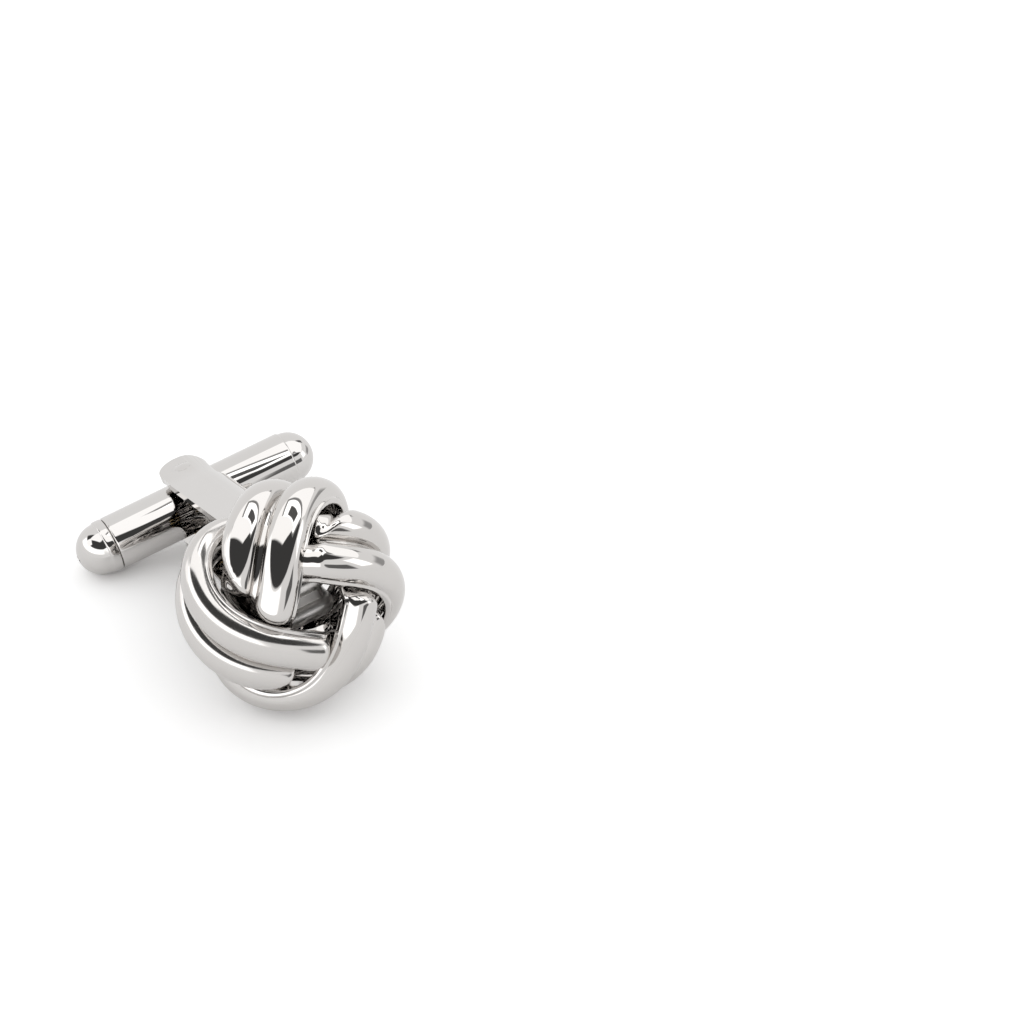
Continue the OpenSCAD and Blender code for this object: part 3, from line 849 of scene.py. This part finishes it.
# Glows in the middle of the card and fades to clear over a share of its width at each side
def glowing(name, level, edge):
    material = bpy.data.materials.new(name)
    material.use_nodes = True
    nodes, links = material.node_tree.nodes, material.node_tree.links
    nodes.clear()
    glow = nodes.new("ShaderNodeEmission")
    glow.inputs["Color"].default_value = (1, 1, 1, 1)
    glow.inputs["Strength"].default_value = level
    clear = nodes.new("ShaderNodeBsdfTransparent")
    place = nodes.new("ShaderNodeTexCoord")
    parts = nodes.new("ShaderNodeSeparateXYZ")
    links.new(place.outputs["UV"], parts.inputs["Vector"])
    both = nodes.new("ShaderNodeMath")
    both.operation = "MULTIPLY"
    for number, axis in enumerate("XY"):
        off = nodes.new("ShaderNodeMath")
        off.operation = "SUBTRACT"
        off.inputs[1].default_value = 0.5
        size = nodes.new("ShaderNodeMath")
        size.operation = "ABSOLUTE"
        fade = nodes.new("ShaderNodeMapRange")
        fade.interpolation_type = "SMOOTHSTEP"
        fade.inputs["From Min"].default_value = 0.5
        fade.inputs["From Max"].default_value = 0.5 - edge
        links.new(parts.outputs[axis], off.inputs[0])
        links.new(off.outputs["Value"], size.inputs[0])
        links.new(size.outputs["Value"], fade.inputs["Value"])
        links.new(fade.outputs["Result"], both.inputs[number])
    mix = nodes.new("ShaderNodeMixShader")
    out = nodes.new("ShaderNodeOutputMaterial")
    links.new(both.outputs["Value"], mix.inputs["Fac"])
    links.new(clear.outputs["BSDF"], mix.inputs[1])
    links.new(glow.outputs["Emission"], mix.inputs[2])
    links.new(mix.outputs["Shader"], out.inputs["Surface"])
    return material


# A grid whose points are placed by their shares u and v across it
def card(name, placed, level, edge, columns=1, rows=1):
    deselectAll()
    bpy.ops.mesh.primitive_grid_add(x_subdivisions=columns, y_subdivisions=rows, size=1)
    screen = bpy.context.object
    screen.name = name
    for spot in screen.data.vertices:
        spot.co = placed(spot.co.x + 0.5, spot.co.y + 0.5) * mm
    screen.data.materials.append(glowing(name, level, edge))
    screen.visible_camera = False
    screen.visible_diffuse = False
    screen.visible_shadow = False


def domeCard(name, azimuths, elevations, distance, **glow):
    def placed(u, v):
        return direction(between(azimuths, u), between(elevations, v)) * distance
    card(name, placed, **glow, **domeGrid)


def nearCard(name, facing, azimuth, elevation, distance, width, height, **glow):
    turn = direction(azimuth, elevation).to_track_quat("Z", "Y").to_matrix()
    across, up = (2 * distance * math.tan(math.radians(a) / 2) for a in (width, height))

    def placed(u, v):
        return Vector(facing) + turn @ Vector(((u - 0.5) * across, (v - 0.5) * up, distance))
    card(name, placed, **glow)


def levelCard(name, leftX, rightX, endsY, height, **glow):
    def placed(u, v):
        sides = (between(leftX, v), between(rightX, v))
        return Vector((between(sides, u), between(endsY, v), height))
    card(name, placed, **glow)


def whiteWorld():
    world = bpy.data.worlds.new("room")
    bpy.context.scene.world = world
    world.use_nodes = True
    sky = world.node_tree.nodes["Background"]
    sky.inputs["Color"].default_value = (1, 1, 1, 1)
    sky.inputs["Strength"].default_value = room["worldStrength"]


def whiteFloor():
    deselectAll()
    bpy.ops.mesh.primitive_plane_add(size=room["floorSize"] * mm)
    floor = bpy.context.object
    floor.name = "table"
    material = bpy.data.materials.new("table")
    material.use_nodes = True
    shader = material.node_tree.nodes["Principled BSDF"]
    nodes, links = material.node_tree.nodes, material.node_tree.links
    path = nodes.new("ShaderNodeLightPath")
    seen = nodes.new("ShaderNodeMix")
    seen.data_type = "RGBA"
    seen.inputs["A"].default_value = (*[room["floorBright"]] * 3, 1)
    seen.inputs["B"].default_value = (*[room["floorSeenBright"]] * 3, 1)
    links.new(path.outputs["Is Camera Ray"], seen.inputs["Factor"])
    links.new(seen.outputs["Result"], shader.inputs["Base Color"])
    shader.inputs["Roughness"].default_value = room["floorRoughness"]
    shader.inputs["Specular IOR Level"].default_value = 0.0
    floor.data.materials.append(material)


whiteWorld()
whiteFloor()
for name, spec in domeCards.items():
    domeCard(name, **spec)
levelCard("overheadBox", **overheadBox)
for name, spec in nearCards.items():
    nearCard(name, **spec)
print("studio made")
